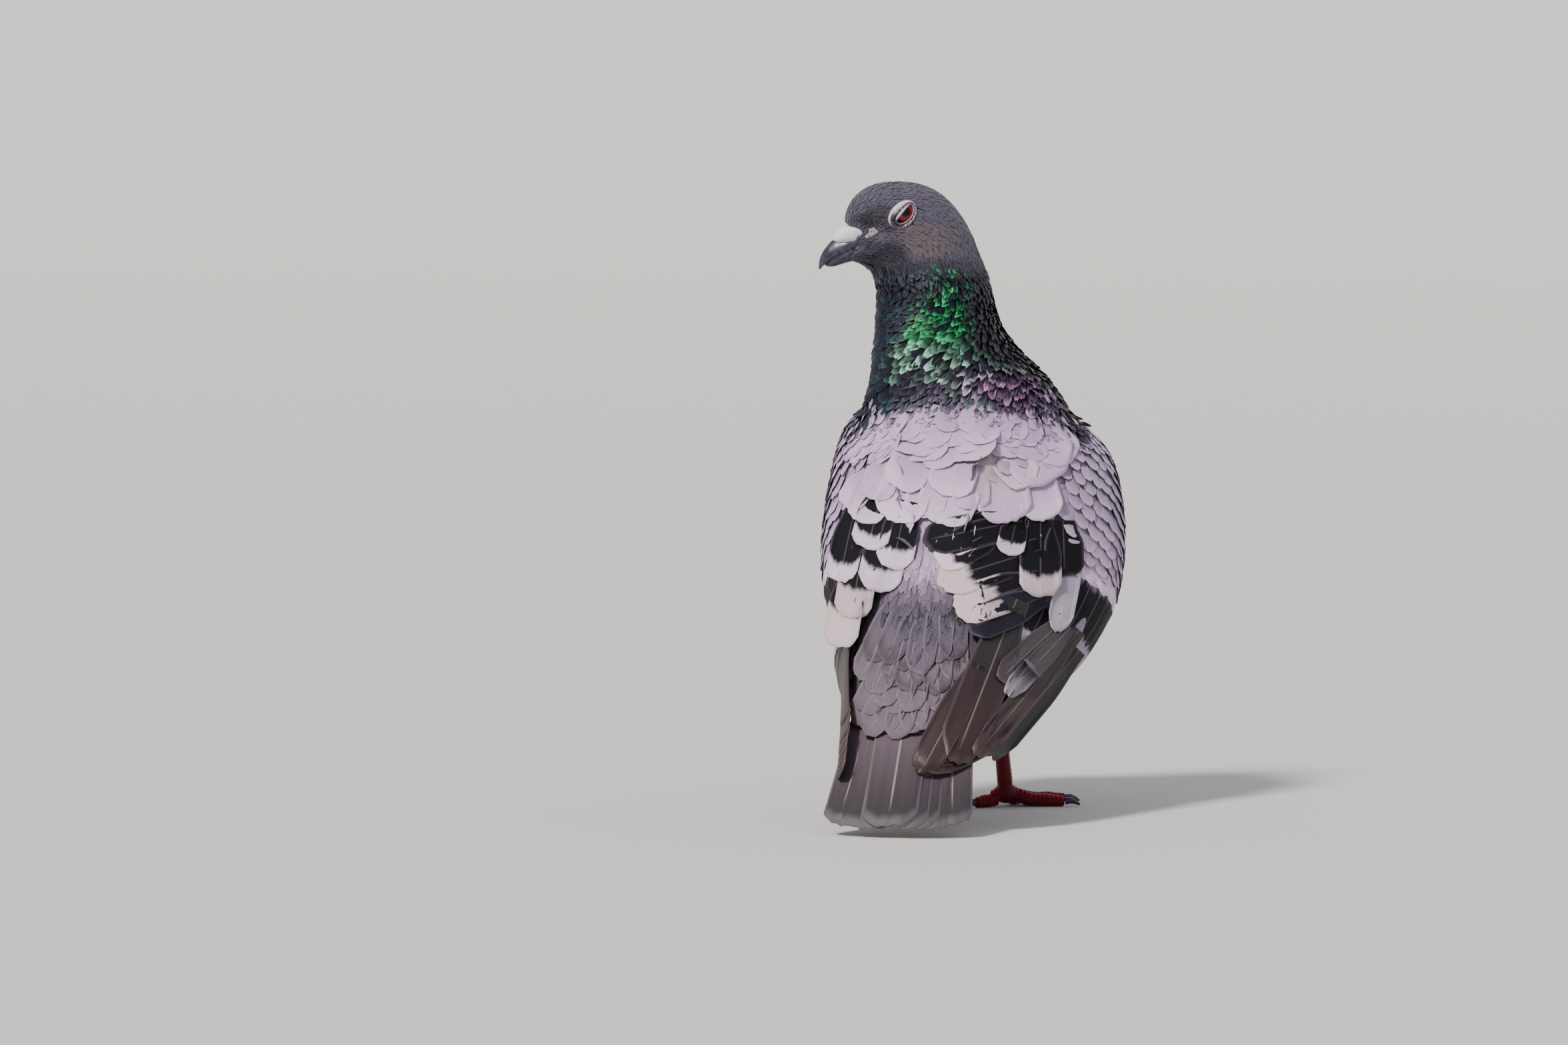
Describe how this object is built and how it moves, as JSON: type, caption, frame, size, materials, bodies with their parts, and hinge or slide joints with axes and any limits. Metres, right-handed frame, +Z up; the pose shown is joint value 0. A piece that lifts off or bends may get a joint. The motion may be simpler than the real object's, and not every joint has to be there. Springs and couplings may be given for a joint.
{
  "type": "rock pigeon",
  "caption": "Standing rock pigeon looking back over its left shoulder, wings folded, tail low, as a still life-size model.",
  "frame": {"origin": "on the floor, under the middle of the bird's bounding box", "axes": "+Z up, -Y the way the bird's body faces, +X the bird's left"},
  "size_m": [0.1102, 0.2082, 0.218],
  "materials": {
    "head_feathers": "short velvety slate-grey feathers, darker at the lores and chin",
    "neck_feathers": "dark neck feathers with a green and purple sheen",
    "body_feathers": "soft blue-grey feathers",
    "wing_feathers": "pale grey wing feathers with dark bars",
    "flight_feathers": "dark brown-grey flight feathers",
    "tail_feathers": "grey tail feathers with a dark end band",
    "bill_horn": "slate-coloured horn",
    "cere_skin": "chalky white bare skin",
    "eye": "wet eye with an orange-red iris",
    "leg_skin": "deep red scaly skin",
    "claw_horn": "dark horn"
  },
  "bodies": {
    "root": {"head": "head_feathers", "neck": "neck_feathers", "trunk": "body_feathers", "tail": "tail_feathers", "bill_upper": "bill_horn", "bill_lower": "bill_horn", "cere": "cere_skin", "eye_left": "eye", "eye_right": "eye", "wing_coverts_left": "wing_feathers", "wing_coverts_right": "wing_feathers", "wing_secondaries_left": "wing_feathers", "wing_secondaries_right": "wing_feathers", "wing_primaries_left": "flight_feathers", "wing_primaries_right": "flight_feathers", "thigh_left": "body_feathers", "thigh_right": "body_feathers", "tarsus_left": "leg_skin", "tarsus_right": "leg_skin", "foot_left": "leg_skin", "foot_right": "leg_skin", "claw_1_left": "claw_horn", "claw_2_left": "claw_horn", "claw_3_left": "claw_horn", "claw_4_left": "claw_horn", "claw_1_right": "claw_horn", "claw_2_right": "claw_horn", "claw_3_right": "claw_horn", "claw_4_right": "claw_horn"}
  },
  "joints": []
}
